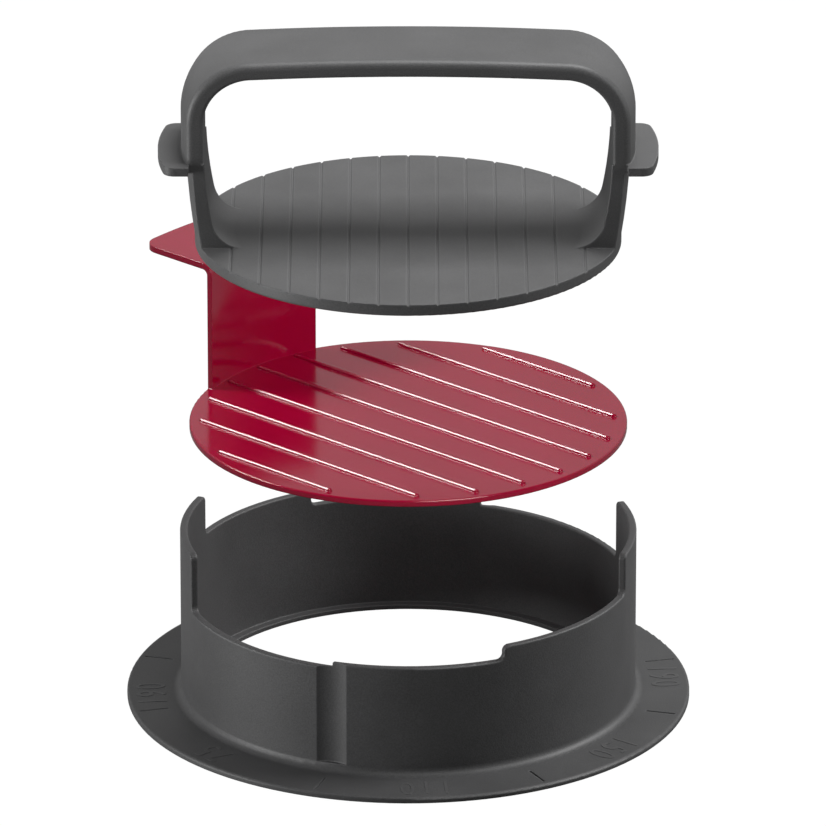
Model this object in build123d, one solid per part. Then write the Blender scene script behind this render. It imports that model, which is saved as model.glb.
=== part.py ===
"""Adjustable burger press: a stepped ring, a lifter plate and a press with an arched handle.

The ring stands on the table on its wide flange. The lifter lies on the ring's inner lip and its
thumb tab hangs over the rim. The press drops in from above until its two wings rest on the rim,
whose steps set the thickness of the patty. The pieces are modelled taken apart, one above another.
Z is up, X runs along the handle, and the origin is the centre of the ring's underside.
"""
from build123d import *
import math
import os

# Ring: wall, flange and inner lip
ring_inner_radius = 56.0
wall_thickness = 1.9
flange_radius = 71.7
flange_thickness = 1.5
flange_edge_round = 0.6
flange_root_round = 2.0
lip_width = 2.3
lip_thickness = 1.2

# Rim levels above the table, and the angle where each stretch of rim begins
rim_lowest = 29.4
rim_low = 30.6
rim_middle = 34.3
rim_tower = 45.0
tower_end_angle = 19.0
flute_angle = 70.6
seat_begin_angle = 116.5
seat_end_angle = 157.5
middle_begin_angle = 294.5
right_tower_angle = 341.0
step_round = 1.6
low_step_round = 0.5
rim_edge_round = 0.45

# Vertical flutes in the outside of the wall, and the scale ticks on the flange
flute_radius = 8.5
flute_depth = 1.1
tick_angles = (14.0, 70.6, 119.0, 164.5, 194.0, 250.6, 299.0, 344.5)
tick_width = 0.6
tick_depth = 0.35
tick_inset = 1.6
tick_length = 7.5

# Lifter: ribbed plate, arm and thumb tab
lifter_gap = 0.7
lifter_thickness = 1.5
lifter_edge_round = 0.4
rib_count = 9
rib_pitch = 12.2
rib_width = 1.4
rib_height = 0.8
rib_inset = 2.8
arm_thickness = 1.5
arm_side_gap = 0.5
tab_rim_gap = 0.6
tab_reach = 20.6
tab_thickness = 1.6
tab_corner = 5.0
tab_bulge = 1.2
arm_root_round = 1.4
arm_top_round = 3.0

# Press: plate, legs, wings and handle
press_gap = 2.5
press_plate_thickness = 3.0
press_edge_round = 0.5
groove_count = 13
groove_pitch = 7.35
groove_width = 0.9
groove_depth = 0.4
grill_rib_height = 0.7
grill_rib_inset = 2.5
handle_height = 49.5
handle_depth = 28.0
handle_overhang = 0.8
handle_thickness = 4.2
handle_corner_radius = 16.0
handle_crown = 1.0
handle_edge_round = 1.8
handle_inner_round = 0.8
leg_ring_gap = 0.5
leg_thickness = 3.4
leg_bow = 0.3
leg_root_round = 6.5
wing_top_height = 22.2
wing_thickness = 2.2
wing_reach = 5.8
wing_width = 33.0
wing_corner = 3.0

# Running clearances, and how far the pieces stand apart at rest
seat_clearance = 0.3
lifter_raised = 71.5
press_raised = 29.0

# Worked out from the sizes above
ring_outer_radius = ring_inner_radius + wall_thickness
lifter_radius = ring_inner_radius - lifter_gap
lifter_seated_bottom = lip_thickness + seat_clearance
lifter_bottom = lifter_seated_bottom + lifter_raised
seat_middle_angle = (seat_begin_angle + seat_end_angle) / 2
tab_under = rim_middle + tab_rim_gap + lifter_raised
tab_half_angle = (seat_end_angle - seat_begin_angle) / 2
tab_half_width = ring_inner_radius * math.sin(math.radians(tab_half_angle)) - arm_side_gap
press_plate_radius = ring_inner_radius - press_gap
handle_outer_radius = ring_inner_radius + handle_overhang
wing_radius = handle_outer_radius + wing_reach
leg_top_radius = ring_inner_radius - leg_ring_gap
wing_under_height = wing_top_height - wing_thickness
press_seated_top = rim_tower + seat_clearance - wing_under_height
press_top = press_seated_top + lifter_raised + press_raised
far = 4 * flange_radius


def sector(begin, end, bottom, top):
    """A wedge of space round the Z axis, from one angle to another."""
    middle = math.radians((begin + end) / 2)
    corners = [(0, 0)]
    for angle in (math.radians(begin), middle, math.radians(end)):
        corners.append((far * math.cos(angle), far * math.sin(angle)))
    outline = make_face(Polyline(*corners, close=True))
    return Pos(0, 0, bottom) * extrude(outline, top - bottom)


def rim_stretches():
    """Where each stretch of the rim begins and ends, and its height."""
    return (
        (tower_end_angle, flute_angle, rim_lowest),
        (flute_angle, seat_begin_angle, rim_low),
        (seat_begin_angle, seat_end_angle, rim_middle),
        (tower_end_angle + 180, flute_angle + 180, rim_lowest),
        (flute_angle + 180, middle_begin_angle, rim_low),
        (middle_begin_angle, right_tower_angle, rim_middle),
    )


def radial_edge_at(edge, angle):
    """True for a short level edge that runs outward across the wall at an angle."""
    spot = edge.center()
    across = abs(edge.length - wall_thickness) < 0.7
    level = abs((edge @ 0).Z - (edge @ 1).Z) < 0.01
    turn = (math.degrees(math.atan2(spot.Y, spot.X)) - angle + 180) % 360 - 180
    on_wall = ring_inner_radius < math.hypot(spot.X, spot.Y) < ring_outer_radius
    return across and level and on_wall and abs(turn) < 0.5


def make_ring():
    """The ring: wall with a stepped rim, flange, inner lip, flutes and ticks."""
    wall = Cylinder(ring_outer_radius, rim_tower, align=(Align.CENTER, Align.CENTER, Align.MIN))
    flange = Cylinder(flange_radius, flange_thickness, align=(Align.CENTER, Align.CENTER, Align.MIN))
    flange = fillet(flange.edges().sort_by(Axis.Z)[-1], flange_edge_round)
    ring = wall + flange
    root = ring.edges().filter_by(GeomType.CIRCLE).filter_by(
        lambda e: abs(e.radius - ring_outer_radius) < 0.01 and e.center().Z < rim_lowest)
    ring = fillet(root, flange_root_round)
    bore = Pos(0, 0, lip_thickness) * Cylinder(
        ring_inner_radius, rim_tower, align=(Align.CENTER, Align.CENTER, Align.MIN))
    ring -= bore
    ring -= Cylinder(ring_inner_radius - lip_width, 4 * lip_thickness)
    for begin, end, level in rim_stretches():
        ring -= sector(begin, end, level, rim_tower + 1)
    ring = round_steps(ring)
    ring = round_rim(ring)
    for angle in (flute_angle, flute_angle + 180):
        ring -= flute(angle)
    for angle in tick_angles:
        ring -= tick(angle)
    return ring


def round_steps(ring):
    """Rounds the corners where the rim steps up or down."""
    tall = (tower_end_angle, seat_begin_angle, seat_end_angle, tower_end_angle + 180,
            middle_begin_angle, right_tower_angle)
    short = (flute_angle, flute_angle + 180)
    for angles, radius in ((tall, step_round), (short, low_step_round)):
        for angle in angles:
            edges = ring.edges().filter_by(lambda e: radial_edge_at(e, angle))
            ring = fillet(edges, radius)
    return ring


def round_rim(ring):
    """Softens the rim's inner and outer edges all the way round."""
    on_top = [e for e in ring.edges() if e.center().Z > rim_lowest - 1
              and not is_across_wall(e)]
    return fillet(on_top, rim_edge_round)


def is_across_wall(edge):
    """True for an edge that crosses the wall from inside to outside."""
    first, last = edge @ 0, edge @ 1
    return abs(math.hypot(first.X, first.Y) - math.hypot(last.X, last.Y)) > wall_thickness / 2


def flute(angle):
    """A shallow upright groove in the outside of the wall."""
    reach = ring_outer_radius - flute_depth + flute_radius
    base = flange_thickness + flange_root_round
    tool = Pos(reach, 0, base) * Cylinder(
        flute_radius, rim_tower, align=(Align.CENTER, Align.CENTER, Align.MIN))
    return Rot(0, 0, angle) * tool


def tick(angle):
    """A short radial scale line sunk in the flange."""
    outer = flange_radius - tick_inset
    tool = Pos(outer - tick_length / 2, 0, flange_thickness) * Box(tick_length, tick_width, 2 * tick_depth)
    return Rot(0, 0, angle) * tool


def make_lifter():
    """The lifter: ribbed plate with an arm up to a thumb tab."""
    bottom_up = (Align.CENTER, Align.CENTER, Align.MIN)
    plate = Pos(0, 0, lifter_bottom) * Cylinder(lifter_radius, lifter_thickness, align=bottom_up)
    plate = fillet(plate.edges().sort_by(Axis.Z)[-1], lifter_edge_round)
    lifter = plate + handle_arm()
    return lifter + [Rot(0, 0, seat_middle_angle) * rib for rib in ribs()]


def handle_arm():
    """The arm and the tab, drawn with the tab along +X and turned into place."""
    bottom_up = (Align.CENTER, Align.CENTER, Align.MIN)
    inner = lifter_radius - arm_thickness
    tab_top = tab_under + tab_thickness
    shell = Pos(0, 0, lifter_bottom) * (
        Cylinder(lifter_radius, tab_top - lifter_bottom, align=bottom_up)
        - Cylinder(inner, tab_top - lifter_bottom, align=bottom_up))
    front = Pos(lifter_radius, 0, lifter_bottom) * Box(
        lifter_radius, 2 * tab_half_width, 2 * tab_top, align=bottom_up)
    arm = shell & front
    arm += Pos(0, 0, tab_under) * extrude(tab_outline(), tab_thickness) - Cylinder(inner, far)
    bend = arm.edges().filter_by(GeomType.CIRCLE).filter_by(
        lambda e: abs(e.radius - inner) < 0.01 and abs(e.center().Z - tab_top) < 0.01)
    arm = fillet(bend, arm_top_round)
    crook = arm.edges().filter_by(GeomType.CIRCLE).filter_by(
        lambda e: abs(e.radius - lifter_radius) < 0.01 and abs(e.center().Z - tab_under) < 0.01)
    arm = fillet(crook, arm_root_round)
    return Rot(0, 0, seat_middle_angle) * arm


def tab_outline():
    """The tab's outline: straight sides, round corners and a slightly bowed end."""
    end = lifter_radius + tab_reach
    side = end - tab_bulge
    left, right, tip = (side, tab_half_width), (side, -tab_half_width), (end, 0)
    near = lifter_radius / 2
    outline = make_face([
        Line((near, -tab_half_width), right),
        ThreePointArc(right, tip, left),
        Line(left, (near, tab_half_width)),
        Line((near, tab_half_width), (near, -tab_half_width)),
    ])
    corners = outline.vertices().sort_by(Axis.X)[-2:]
    return fillet(corners, tab_corner)


def ribs():
    """The raised ribs on the lifter's plate, side by side along Y and cut to its edge."""
    group = []
    ends = lifter_radius - rib_inset
    for number in range(rib_count):
        offset = (number - (rib_count - 1) / 2) * rib_pitch
        length = 2 * math.sqrt(ends ** 2 - offset ** 2)
        outline = SlotOverall(length, rib_width)
        bar = extrude(outline, rib_height + lifter_thickness / 2)
        bar = chamfer(bar.faces().sort_by(Axis.Z)[-1].edges(), rib_width / 4)
        group.append(Pos(0, offset, lifter_bottom + lifter_thickness / 2) * bar)
    return group


def make_press():
    """The press: grooved plate, two legs under an arched handle, and two wings."""
    bottom_up = (Align.CENTER, Align.CENTER, Align.MIN)
    plate = Cylinder(press_plate_radius, press_plate_thickness, align=bottom_up)
    plate = fillet(plate.edges().sort_by(Axis.Z)[0], press_edge_round)
    plate = Pos(0, 0, -press_plate_thickness) * plate
    offsets = [(number - (groove_count - 1) / 2) * groove_pitch for number in range(groove_count)]
    plate -= [groove(offset) for offset in offsets]
    plate += [grill_rib(offset) for offset in offsets]
    press = plate + handle() + [Rot(0, 0, side) * wing() for side in (0, 180)]
    return Pos(0, 0, press_top) * press


def handle():
    """The arched bar and the legs below it, down into the plate."""
    arch = slice_of(bar_profile())
    inner_edges = [e for e in front_and_back_edges(arch) if is_inside_arch(e)]
    arch = fillet(inner_edges, handle_inner_round)
    outer_edges = [e for e in front_and_back_edges(arch) if not is_inside_arch(e)]
    arch = fillet(outer_edges, handle_edge_round)
    return arch + slice_of(leg_profile())


def slice_of(lines):
    """A profile turned about Z and cut to the handle's depth."""
    turned = revolve(make_face([Plane.XZ * line for line in lines]), Axis.Z, 360)
    for side in (-1, 1):
        turned -= Pos(0, side * (handle_depth + far) / 2, 0) * Box(far, far, far)
    return turned


def front_and_back_edges(arch):
    """The bar's edges on its front and back faces, without those on its flat feet."""
    return [e for e in arch.edges() if abs(abs(e.center().Y) - handle_depth / 2) < 0.01
            and e.center().Z > wing_top_height + 0.01]


def bar_profile():
    """Half the arch, from its flat foot level with the wing's top up to the crown."""
    wide = handle_outer_radius
    inner_wide = wide - handle_thickness
    round_out = handle_corner_radius
    round_in = round_out - handle_thickness
    bar_end = wide - round_out
    shoulder = handle_height - handle_crown - round_out
    crown_under = handle_height - handle_thickness
    slant = math.sqrt(0.5)
    return [
        Line((inner_wide, wing_top_height), (wide, wing_top_height)),
        Line((wide, wing_top_height), (wide, shoulder)),
        ThreePointArc((wide, shoulder),
                      (bar_end + round_out * slant, shoulder + round_out * slant),
                      (bar_end, handle_height - handle_crown)),
        crown_arc(bar_end, handle_height),
        Line((0, handle_height), (0, crown_under)),
        crown_arc(bar_end, crown_under),
        ThreePointArc((bar_end, crown_under - handle_crown),
                      (bar_end + round_in * slant, shoulder + round_in * slant),
                      (inner_wide, shoulder)),
        Line((inner_wide, shoulder), (inner_wide, wing_top_height)),
    ]


def leg_profile():
    """One leg, from a flared foot sunk in the plate up to the wing's top."""
    wide = handle_outer_radius
    inner_wide = wide - handle_thickness
    slant = math.sqrt(0.5)
    sunk = press_plate_thickness / 2
    leg_foot = press_plate_radius - leg_thickness
    flare_top = leg_foot + (inner_wide - leg_foot) * leg_root_round / wing_top_height
    flare_end = leg_foot - leg_root_round
    foot = press_plate_radius - sunk
    return [
        Line((foot, -sunk), (foot, 0)),
        Line((foot, 0), (press_plate_radius, 0)),
        ThreePointArc((press_plate_radius, 0),
                      ((press_plate_radius + leg_top_radius) / 2 + leg_bow, wing_under_height / 2),
                      (leg_top_radius, wing_under_height)),
        Line((leg_top_radius, wing_under_height), (wide, wing_under_height)),
        Line((wide, wing_under_height), (wide, wing_top_height)),
        Line((wide, wing_top_height), (inner_wide, wing_top_height)),
        ThreePointArc((inner_wide, wing_top_height),
                      ((inner_wide + flare_top) / 2 + leg_bow, (wing_top_height + leg_root_round) / 2),
                      (flare_top, leg_root_round)),
        ThreePointArc((flare_top, leg_root_round),
                      (flare_end + leg_root_round * slant, leg_root_round * (1 - slant)),
                      (flare_end, 0)),
        Line((flare_end, 0), (flare_end, -sunk)),
        Line((flare_end, -sunk), (foot, -sunk)),
    ]


def is_inside_arch(edge):
    """True for an edge of the handle's front or back that borders the finger opening."""
    spot = edge @ 0.5
    half_chord = math.sqrt(handle_outer_radius ** 2 - handle_depth ** 2 / 4)
    return (abs(spot.X) < half_chord - handle_thickness / 2
            and math.hypot(max(abs(spot.X) - half_chord + handle_corner_radius, 0),
                           max(spot.Z - handle_height + handle_corner_radius, 0))
            < handle_corner_radius - handle_thickness / 2)


def crown_arc(reach, height):
    """The bar's slight crown, from the top on the Z axis out to where the corner begins."""
    radius = (reach ** 2 + handle_crown ** 2) / (2 * handle_crown)
    halfway = height - radius + math.sqrt(radius ** 2 - reach ** 2 / 4)
    return ThreePointArc((0, height), (reach / 2, halfway), (reach, height - handle_crown))


def wing():
    """One wing, drawn on the +X side: it rests on the rim and sets the thickness."""
    root = handle_outer_radius - handle_thickness / 2
    half = wing_width / 2
    edge = math.sqrt(wing_radius ** 2 - half ** 2)
    outline = make_face([
        Line((root, -half), (edge, -half)),
        ThreePointArc((edge, -half), (wing_radius, 0), (edge, half)),
        Line((edge, half), (root, half)),
        Line((root, half), (root, -half)),
    ])
    outline = fillet(outline.vertices().sort_by(Axis.X)[-2:], wing_corner)
    return Pos(0, 0, wing_under_height) * extrude(outline, wing_thickness)


def groove(offset):
    """One fine line sunk in the top of the plate, running from front to back."""
    section = Plane.XZ * Polyline(
        (offset - groove_width, groove_depth), (offset + groove_width, groove_depth),
        (offset, -groove_depth), close=True)
    return extrude(make_face(section), press_plate_radius + 1, both=True)


def grill_rib(offset):
    """One low rib under the plate, below a groove, that marks the patty."""
    ends = press_plate_radius - grill_rib_inset
    length = 2 * math.sqrt(ends ** 2 - offset ** 2)
    outline = Rot(0, 0, 90) * SlotOverall(length, groove_width)
    bar = extrude(outline, -grill_rib_height - press_plate_thickness / 4)
    return Pos(offset, 0, -press_plate_thickness * 3 / 4) * bar


os.makedirs("parts", exist_ok=True)
export_step(make_ring(), "parts/base_ring.step")
export_step(make_lifter(), "parts/lifter.step")
export_step(make_press(), "parts/press.step")
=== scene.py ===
"""Looks of the adjustable burger press: grained anthracite plastic, glossy red plastic, soft light."""
import math

import bpy
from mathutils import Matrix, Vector


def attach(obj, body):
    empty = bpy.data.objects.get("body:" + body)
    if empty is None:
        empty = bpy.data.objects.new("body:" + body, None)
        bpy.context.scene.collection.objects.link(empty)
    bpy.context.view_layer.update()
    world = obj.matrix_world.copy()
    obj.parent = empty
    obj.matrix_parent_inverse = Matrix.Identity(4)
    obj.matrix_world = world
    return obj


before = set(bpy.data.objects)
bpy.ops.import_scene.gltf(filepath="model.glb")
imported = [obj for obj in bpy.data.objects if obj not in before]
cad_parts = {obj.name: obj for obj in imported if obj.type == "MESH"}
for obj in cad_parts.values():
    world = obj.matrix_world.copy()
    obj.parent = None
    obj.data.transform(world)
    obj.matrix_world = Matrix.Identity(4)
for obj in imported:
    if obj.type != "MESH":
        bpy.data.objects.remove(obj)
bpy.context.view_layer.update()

# The photograph's size in pixels, and the camera that gives its view
IMAGE_PIXELS = 826
CAMERA_ELEVATION = math.radians(21.6)
CAMERA_DISTANCE = 2.6
CAMERA_REACH = 20
PIXELS_PER_METRE = 3960
AIM_POINT = Vector((0.0012, 0.0, 0.0761))
SENSOR_WIDTH_MM = 36.0

# The scale on the flange: plain numbers of grams, with the bearing of each in degrees
FLANGE_TOP = 0.0015
LABEL_RADIUS = 0.0652
LABEL_SIZE = 0.0108
LABEL_NARROWING = 0.72
LABEL_SPACING = 1.25
LABEL_RAISE = 0.00008
LABELS = (("75", 222.0), ("110", 274.0), ("150", 322.0), ("190", 5.0),
          ("75", 42.0), ("110", 94.0), ("150", 142.0), ("190", 185.0))

# Grained plastic: how far its tone, speckle and dullness vary, and how pale the painted highlight on its
# sharp edges is
CLOUD_SCALE = 55.0
CLOUD_DETAIL = 3.0
GRAIN_DETAIL = 2.0
GRAIN_ROUGHNESS = 0.6
TONE_RANGE = (0.90, 1.10)
FLECK_RANGE = (0.86, 1.16)
FLECK_ENDS = (0.35, 0.65)
# Painted edge highlight: how much paler than the plastic its sharp edges are coloured
EDGE_HIGHLIGHT_TONE = 1.6
DULLNESS_SWING = 0.08
GRAIN_STRENGTH = 0.35
GRAINED_SHINE = 0.42
BEVEL_SAMPLES = 6
EDGE_FLAT = 0.995
EDGE_SHARP = 0.90

# Red plastic: its two tones, its moulding ripple and its depth
RED_TONES = ((0.330, 0.0006, 0.026), (0.375, 0.0010, 0.034))
RED_CLOUD_SCALE = 30.0
RED_DULL_SCALE = 900.0
RED_ROUGHNESS = (0.10, 0.20)
RED_ROUNDING = 0.0004
RIPPLE_SCALE = 90.0
RIPPLE_STRENGTH = 0.12
RIPPLE_HEIGHT = 0.0004
RED_IOR = 1.53
RED_TRANSMISSION = 0.18
RED_SUBSURFACE = 0.25
RED_SUBSURFACE_RADIUS = (0.004, 0.0006, 0.0006)

# The room: its glow from the front to the back, and the white floor
FRONT_GLOW = 0.04
BACK_GLOW = 0.50
FRONT_GLOW_Y = -0.25
BACK_GLOW_Y = 0.45
FLOOR_HALF_SIDE = 3.0
FLOOR_DROP = -0.0002
FLOOR_TONE = 0.9
FLOOR_ROUGHNESS = 0.9
FLOOR_GLOW = 0.95
FLOOR_SHINE = 1.06

# Each lamp: name, place, size, watts, the point it is turned to, and the group that it lights
LAMPS = (
    ("press_lamp", (0.20, 0.03, 0.97), 0.45, 9.5, (0, 0, 0.14), "press_piece"),
    ("side_lamp", (0.8, -0.30, 0.38), 0.4, 1.8, (0, 0, 0.14), "press_piece"),
    ("ring_lamp", (0.75, 0.10, 0.62), 0.4, 9.5, (0, 0, 0.02), "ring_piece"),
    ("left_lamp", (-0.95, -0.25, 0.10), 0.4, 8.0, (0, 0, 0.03), "dark_pieces"),
    ("ring_fill", (0.10, -0.45, 0.85), 0.5, 2.4, (0, 0, 0.02), "ring_piece"),
    ("red_lamp", (0.35, -0.70, 0.65), 0.5, 8.5, (0, 0, 0.08), "red_piece"),
    ("glint_lamp", (-0.72, 0.155, 0.76), 0.28, 6.5, (0, 0, 0.075), "red_piece"),
)


def new_material(name):
    """A node material: itself, its nodes, its links and its principled shader."""
    material = bpy.data.materials.new(name)
    material.use_nodes = True
    nodes = material.node_tree.nodes
    return material, nodes, material.node_tree.links, nodes["Principled BSDF"]


def noise(nodes, links, scale, detail=2.0, roughness=0.5):
    """A noise texture in the object's own metres."""
    place = nodes.new("ShaderNodeTexCoord")
    texture = nodes.new("ShaderNodeTexNoise")
    texture.inputs["Scale"].default_value = scale
    texture.inputs["Detail"].default_value = detail
    texture.inputs["Roughness"].default_value = roughness
    links.new(place.outputs["Object"], texture.inputs["Vector"])
    return texture


def ramp(nodes, links, source, low, high, ends=(0.3, 0.7)):
    """Blends from one colour to another as a value rises from one end to the other."""
    blend = nodes.new("ShaderNodeValToRGB")
    first, last = blend.color_ramp.elements
    first.position, last.position = ends
    first.color, last.color = (*low, 1), (*high, 1)
    links.new(source, blend.inputs["Fac"])
    return blend


def spread(nodes, links, source, low, high):
    """Maps a value of 0 to 1 onto a range."""
    span = nodes.new("ShaderNodeMapRange")
    span.inputs["To Min"].default_value = low
    span.inputs["To Max"].default_value = high
    links.new(source, span.inputs["Value"])
    return span


def mix_colours(nodes, blend_type):
    """A colour mixing node."""
    mixer = nodes.new("ShaderNodeMix")
    mixer.data_type, mixer.blend_type = "RGBA", blend_type
    return mixer


def soft_edges(nodes, rounding):
    """A normal that rounds sharp edges in the shading."""
    bevel = nodes.new("ShaderNodeBevel")
    bevel.samples = BEVEL_SAMPLES
    bevel.inputs["Radius"].default_value = rounding
    return bevel


def edge_mask(nodes, links, bevel):
    """Near 1 beside a sharp edge, and 0 on a flat or gently curved face."""
    geometry = nodes.new("ShaderNodeNewGeometry")
    agree = nodes.new("ShaderNodeVectorMath")
    agree.operation = "DOT_PRODUCT"
    links.new(bevel.outputs["Normal"], agree.inputs[0])
    links.new(geometry.outputs["Normal"], agree.inputs[1])
    mask = nodes.new("ShaderNodeMapRange")
    mask.inputs["From Min"].default_value = EDGE_FLAT
    mask.inputs["From Max"].default_value = EDGE_SHARP
    links.new(agree.outputs["Value"], mask.inputs["Value"])
    return mask


def roughen(nodes, links, shader, height, bevel, strength, distance):
    """Bumps the shader's normal by a texture, on top of the softened edges."""
    bump = nodes.new("ShaderNodeBump")
    bump.inputs["Strength"].default_value = strength
    bump.inputs["Distance"].default_value = distance
    links.new(height.outputs["Fac"], bump.inputs["Height"])
    links.new(bevel.outputs["Normal"], bump.inputs["Normal"])
    links.new(bump.outputs["Normal"], shader.inputs["Normal"])


def grained_plastic(name, tone, roughness, grain_scale, grain_height, rounding):
    """Moulded plastic with a fine spark-eroded grain, and its sharp edges made slightly paler as a
    painted highlight.
    """
    material, nodes, links, shader = new_material(name)
    dark, pale = (tuple(share * part for part in tone) for share in TONE_RANGE)
    low_fleck, high_fleck = ((share,) * 3 for share in FLECK_RANGE)
    clouds = noise(nodes, links, CLOUD_SCALE, CLOUD_DETAIL)
    clouded = ramp(nodes, links, clouds.outputs["Fac"], dark, pale)
    speckle = noise(nodes, links, grain_scale, GRAIN_DETAIL, GRAIN_ROUGHNESS)
    fleck = ramp(nodes, links, speckle.outputs["Fac"], low_fleck, high_fleck, FLECK_ENDS)
    flecked = mix_colours(nodes, "MULTIPLY")
    flecked.inputs["Factor"].default_value = 1.0
    links.new(clouded.outputs["Color"], flecked.inputs["A"])
    links.new(fleck.outputs["Color"], flecked.inputs["B"])
    bevel = soft_edges(nodes, rounding)
    edges = edge_mask(nodes, links, bevel)
    # Painted highlight: sharp edges are coloured paler, standing in for the light that their rounding
    # catches
    painted_edge_highlight = mix_colours(nodes, "MIX")
    painted_edge_highlight.inputs["B"].default_value = (*(EDGE_HIGHLIGHT_TONE * part for part in tone), 1)
    links.new(edges.outputs["Result"], painted_edge_highlight.inputs["Factor"])
    links.new(flecked.outputs["Result"], painted_edge_highlight.inputs["A"])
    links.new(painted_edge_highlight.outputs["Result"], shader.inputs["Base Color"])
    smooth, rough = roughness - DULLNESS_SWING, roughness + DULLNESS_SWING
    dull = spread(nodes, links, speckle.outputs["Fac"], smooth, rough)
    links.new(dull.outputs["Result"], shader.inputs["Roughness"])
    roughen(nodes, links, shader, speckle, bevel, GRAIN_STRENGTH, grain_height)
    shader.inputs["Specular IOR Level"].default_value = GRAINED_SHINE
    return material


def glossy_red():
    """Glossy red plastic with a faint depth to it and a very slight moulding ripple."""
    material, nodes, links, shader = new_material("red_plastic")
    clouds = noise(nodes, links, RED_CLOUD_SCALE)
    tone = ramp(nodes, links, clouds.outputs["Fac"], *RED_TONES)
    links.new(tone.outputs["Color"], shader.inputs["Base Color"])
    ripple = noise(nodes, links, RIPPLE_SCALE)
    fine = noise(nodes, links, RED_DULL_SCALE)
    dull = spread(nodes, links, fine.outputs["Fac"], *RED_ROUGHNESS)
    links.new(dull.outputs["Result"], shader.inputs["Roughness"])
    bevel = soft_edges(nodes, RED_ROUNDING)
    roughen(nodes, links, shader, ripple, bevel, RIPPLE_STRENGTH, RIPPLE_HEIGHT)
    shader.inputs["Transmission Weight"].default_value = RED_TRANSMISSION
    shader.inputs["IOR"].default_value = RED_IOR
    shader.inputs["Subsurface Weight"].default_value = RED_SUBSURFACE
    shader.inputs["Subsurface Radius"].default_value = RED_SUBSURFACE_RADIUS
    return material


def dress(piece, material):
    """Gives a CAD piece one material on all its faces."""
    piece.data.materials.clear()
    piece.data.materials.append(material)
    for face in piece.data.polygons:
        face.material_index = 0


def place_in_scene(name, data):
    """A new object for some data, in the scene."""
    piece = bpy.data.objects.new(name, data)
    bpy.context.collection.objects.link(piece)
    return piece


def flange_number(index, text, bearing, material):
    """One raised number on the flange, its foot towards the wall."""
    name = f"gram_mark_{index}"
    curve = bpy.data.curves.new(name, "FONT")
    curve.body = text
    curve.size = LABEL_SIZE
    curve.extrude = LABEL_RAISE
    curve.space_character = LABEL_SPACING
    curve.align_x, curve.align_y = "CENTER", "CENTER"
    curve.materials.append(material)
    piece = place_in_scene(name, curve)
    turn = math.radians(bearing)
    piece.location = (LABEL_RADIUS * math.cos(turn), LABEL_RADIUS * math.sin(turn), FLANGE_TOP)
    piece.rotation_euler = (0, 0, turn - math.pi / 2)
    piece.scale.x = LABEL_NARROWING
    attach(piece, "ring_body")
    return piece


def seen_plainly(nodes, links):
    """1 for what the camera sees straight or through the red plastic, and 0 for light and mirrors."""
    path = nodes.new("ShaderNodeLightPath")
    seen = nodes.new("ShaderNodeMath")
    seen.operation = "MAXIMUM"
    links.new(path.outputs["Is Camera Ray"], seen.inputs[0])
    links.new(path.outputs["Is Transmission Ray"], seen.inputs[1])
    return seen


def white_world():
    """White to the camera, and to the pieces a soft glow from the back, with a dark front."""
    world = bpy.data.worlds.new("studio")
    bpy.context.scene.world = world
    world.use_nodes = True
    nodes, links = world.node_tree.nodes, world.node_tree.links
    glow = nodes["Background"]
    glow.inputs["Color"].default_value = (1, 1, 1, 1)
    place = nodes.new("ShaderNodeTexCoord")
    parts = nodes.new("ShaderNodeSeparateXYZ")
    links.new(place.outputs["Generated"], parts.inputs["Vector"])
    room = spread(nodes, links, parts.outputs["Y"], FRONT_GLOW, BACK_GLOW)
    room.inputs["From Min"].default_value = FRONT_GLOW_Y
    room.inputs["From Max"].default_value = BACK_GLOW_Y
    seen = seen_plainly(nodes, links)
    strength = nodes.new("ShaderNodeMix")
    strength.data_type = "FLOAT"
    strength.inputs["B"].default_value = 1.0
    links.new(seen.outputs["Value"], strength.inputs["Factor"])
    links.new(room.outputs["Result"], strength.inputs["A"])
    links.new(strength.outputs["Result"], glow.inputs["Strength"])


def floor():
    """The pale floor, close to white to the camera."""
    mesh = bpy.data.meshes.new("floor")
    signs = ((-1, -1), (1, -1), (1, 1), (-1, 1))
    corners = [(x * FLOOR_HALF_SIDE, y * FLOOR_HALF_SIDE, FLOOR_DROP) for x, y in signs]
    mesh.from_pydata(corners, [], [(0, 1, 2, 3)])
    piece = place_in_scene("floor", mesh)
    material, nodes, links, shader = new_material("floor")
    shader.inputs["Base Color"].default_value = (FLOOR_TONE, FLOOR_TONE, FLOOR_TONE, 1)
    shader.inputs["Roughness"].default_value = FLOOR_ROUGHNESS
    shader.inputs["Specular IOR Level"].default_value = 0.0
    seen = seen_plainly(nodes, links)
    shine = nodes.new("ShaderNodeEmission")
    shine.inputs["Strength"].default_value = FLOOR_SHINE
    share = spread(nodes, links, seen.outputs["Value"], 0.0, FLOOR_GLOW)
    mixer = nodes.new("ShaderNodeMixShader")
    links.new(share.outputs["Result"], mixer.inputs["Fac"])
    links.new(shader.outputs["BSDF"], mixer.inputs[1])
    links.new(shine.outputs["Emission"], mixer.inputs[2])
    links.new(mixer.outputs["Shader"], nodes["Material Output"].inputs["Surface"])
    mesh.materials.append(material)


def lit_group(name, pieces):
    """A group of pieces that a lamp is kept to: the photograph joins separately lit shots."""
    group = bpy.data.collections.new(name)
    for piece in pieces:
        group.objects.link(piece)
    return group


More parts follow.
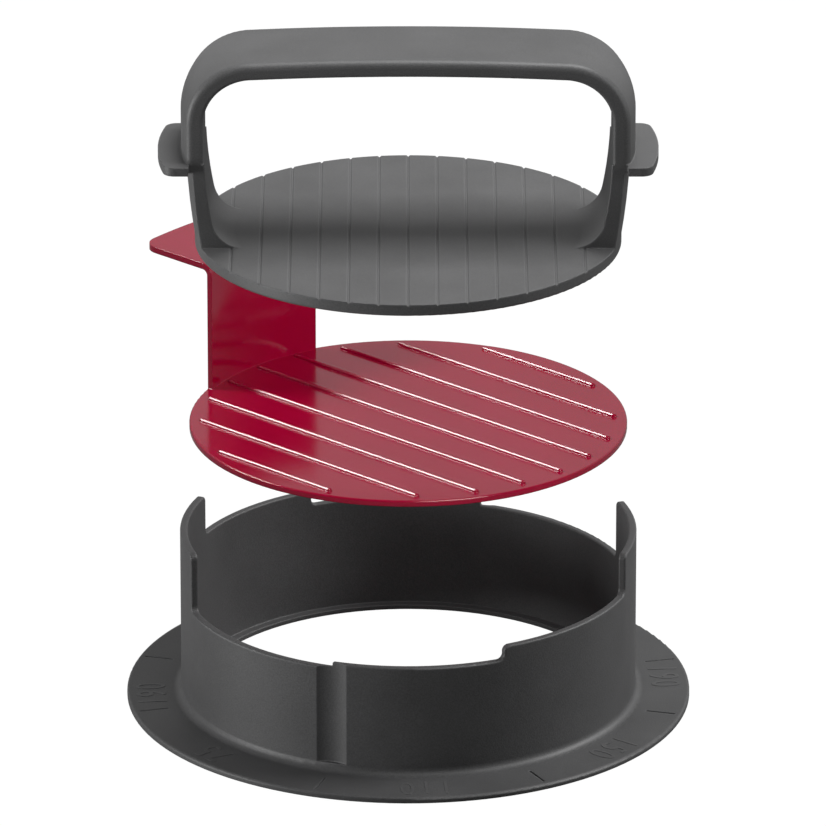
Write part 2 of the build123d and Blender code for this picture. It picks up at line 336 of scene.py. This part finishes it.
def lamp(name, place, size, watts, aim, group):
    """A square soft lamp, turned to a point, that lights one group and is shaded by it alone."""
    data = bpy.data.lights.new(name, "AREA")
    data.shape = "SQUARE"
    data.size = size
    data.energy = watts
    piece = place_in_scene(name, data)
    piece.location = place
    piece.rotation_euler = (Vector(aim) - Vector(place)).to_track_quat("-Z", "Y").to_euler()
    piece.light_linking.receiver_collection = group
    piece.light_linking.blocker_collection = group


def camera():
    """The photograph's view: from the front, a little above."""
    data = bpy.data.cameras.new("camera")
    data.sensor_width = SENSOR_WIDTH_MM
    data.lens = SENSOR_WIDTH_MM * PIXELS_PER_METRE * CAMERA_DISTANCE / IMAGE_PIXELS
    data.clip_end = CAMERA_REACH
    piece = place_in_scene("camera", data)
    back = Vector((0, -math.cos(CAMERA_ELEVATION), math.sin(CAMERA_ELEVATION)))
    piece.location = AIM_POINT + CAMERA_DISTANCE * back
    piece.rotation_euler = (-back).to_track_quat("-Z", "Y").to_euler()
    bpy.context.scene.camera = piece


camera()

# Name, tone, roughness, grain scale, grain height and edge rounding of each grained plastic
ring_plastic = grained_plastic("ring_plastic", (0.060, 0.060, 0.061), 0.52, 2600.0, 0.00012, 0.0005)
number_plastic = grained_plastic("number_plastic", (0.070, 0.070, 0.071), 0.50, 2600.0, 0.00004, 0.00003)
press_plastic = grained_plastic("press_plastic", (0.085, 0.085, 0.086), 0.50, 3000.0, 0.00008, 0.0006)

ring, press, lifter = (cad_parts[node] for node in ("base_ring", "press", "lifter"))
dress(ring, ring_plastic)
dress(press, press_plastic)
dress(lifter, glossy_red())
numbers = [flange_number(index, text, bearing, number_plastic)
           for index, (text, bearing) in enumerate(LABELS)]

white_world()
floor()
groups = {
    "dark_pieces": lit_group("dark_pieces", [ring, press, *numbers]),
    "ring_piece": lit_group("ring_piece", [ring, *numbers]),
    "press_piece": lit_group("press_piece", [press]),
    "red_piece": lit_group("red_piece", [lifter]),
}
for name, place, size, watts, aim, group in LAMPS:
    lamp(name, place, size, watts, aim, groups[group])
bpy.context.scene.view_settings.view_transform = "Standard"
